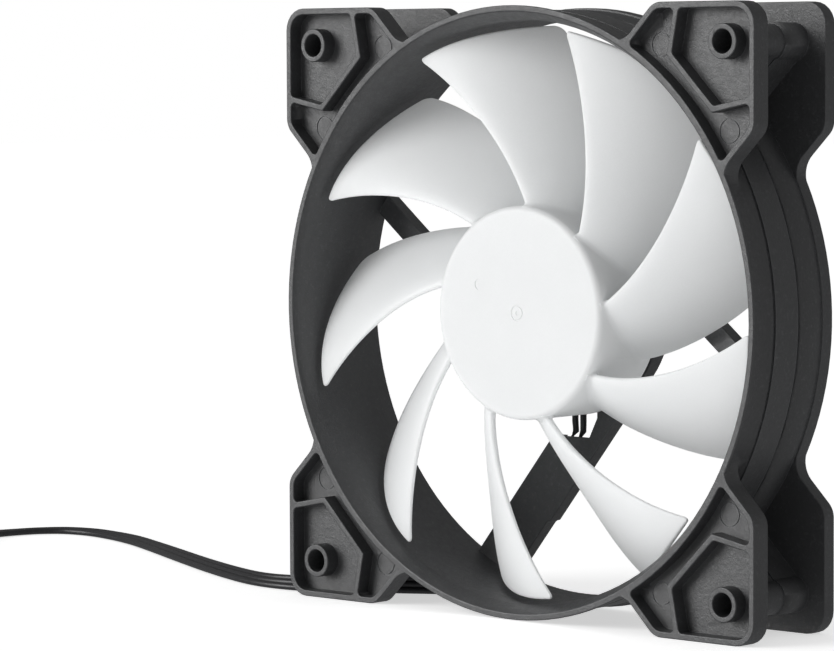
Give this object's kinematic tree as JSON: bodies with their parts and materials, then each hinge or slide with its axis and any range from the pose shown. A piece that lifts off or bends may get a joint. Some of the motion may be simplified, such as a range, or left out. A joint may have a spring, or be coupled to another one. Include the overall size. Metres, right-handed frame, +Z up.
{
  "type": "case fan",
  "caption": "Square axial cooling fan: black frame with corner flanges, white swept-blade impeller on a brushless motor, flat lead coiled to a plug.",
  "frame": {"origin": "middle of the frame's lower edge, where it stands", "axes": "+Z up; the intake side with the hub cap faces -Y, the outlet side with the struts faces +Y; the rotor turns about an axis along Y, 60 mm up"},
  "size_m": [0.2845, 0.0611, 0.12],
  "materials": {
    "frame_plastic": "fine-grained moulded black plastic",
    "impeller_plastic": "smooth satin white plastic",
    "steel": "drawn sheet steel, thinly plated",
    "polished_steel": "ground and polished",
    "core_steel": "stacked laminations",
    "ferrite": "moulded ferrite magnet",
    "brass": "turned brass",
    "bronze": "oil-soaked sintered bronze",
    "copper_wire": "enamelled copper wire",
    "solder": "bright solder",
    "tinned_contact": "tin-plated",
    "nylon": "natural nylon",
    "seal_rubber": "soft seal",
    "cap_plastic": "moulded black plastic",
    "label_foil": "plain silver foil, no print",
    "board_green": "solder mask on glass-fibre board",
    "chip_epoxy": "moulded epoxy",
    "capacitor_ceramic": "fired ceramic",
    "resistor_black": "glazed chip",
    "lead_vinyl": "black vinyl, three wires side by side",
    "tie_vinyl": "black vinyl strap",
    "connector_nylon": "moulded black nylon"
  },
  "bodies": {
    "housing": {"frame": "frame_plastic", "sleeve_bearing": "bronze", "oil_seal": "seal_rubber", "thrust_pad": "nylon", "bearing_cap": "cap_plastic", "rear_label": "label_foil", "stator_core": "core_steel", "insulator_front": "nylon", "insulator_rear": "nylon", "coil_1": "copper_wire", "coil_2": "copper_wire", "coil_3": "copper_wire", "coil_4": "copper_wire", "circuit_board": "board_green", "driver_chip": "chip_epoxy", "board_capacitors": "capacitor_ceramic", "board_resistors": "resistor_black", "winding_pins": "brass", "solder_joints": "solder", "motor_leads": "lead_vinyl", "strut_lead": "lead_vinyl", "cable": "lead_vinyl", "cable_coil": "lead_vinyl", "cable_tail": "lead_vinyl", "coil_tie": "tie_vinyl", "connector_housing": "connector_nylon", "connector_contacts": "tinned_contact"},
    "rotor": {"impeller": "impeller_plastic", "rotor_yoke": "steel", "magnet_ring": "ferrite", "shaft_bush": "brass", "shaft": "polished_steel", "retaining_clip": "nylon"}
  },
  "joints": [
    {"name": "impeller_spin", "type": "hinge", "parent": "housing", "child": "rotor", "pos_m": [0, 0, 0.06], "axis": [0, 1, 0], "continuous": true}
  ]
}
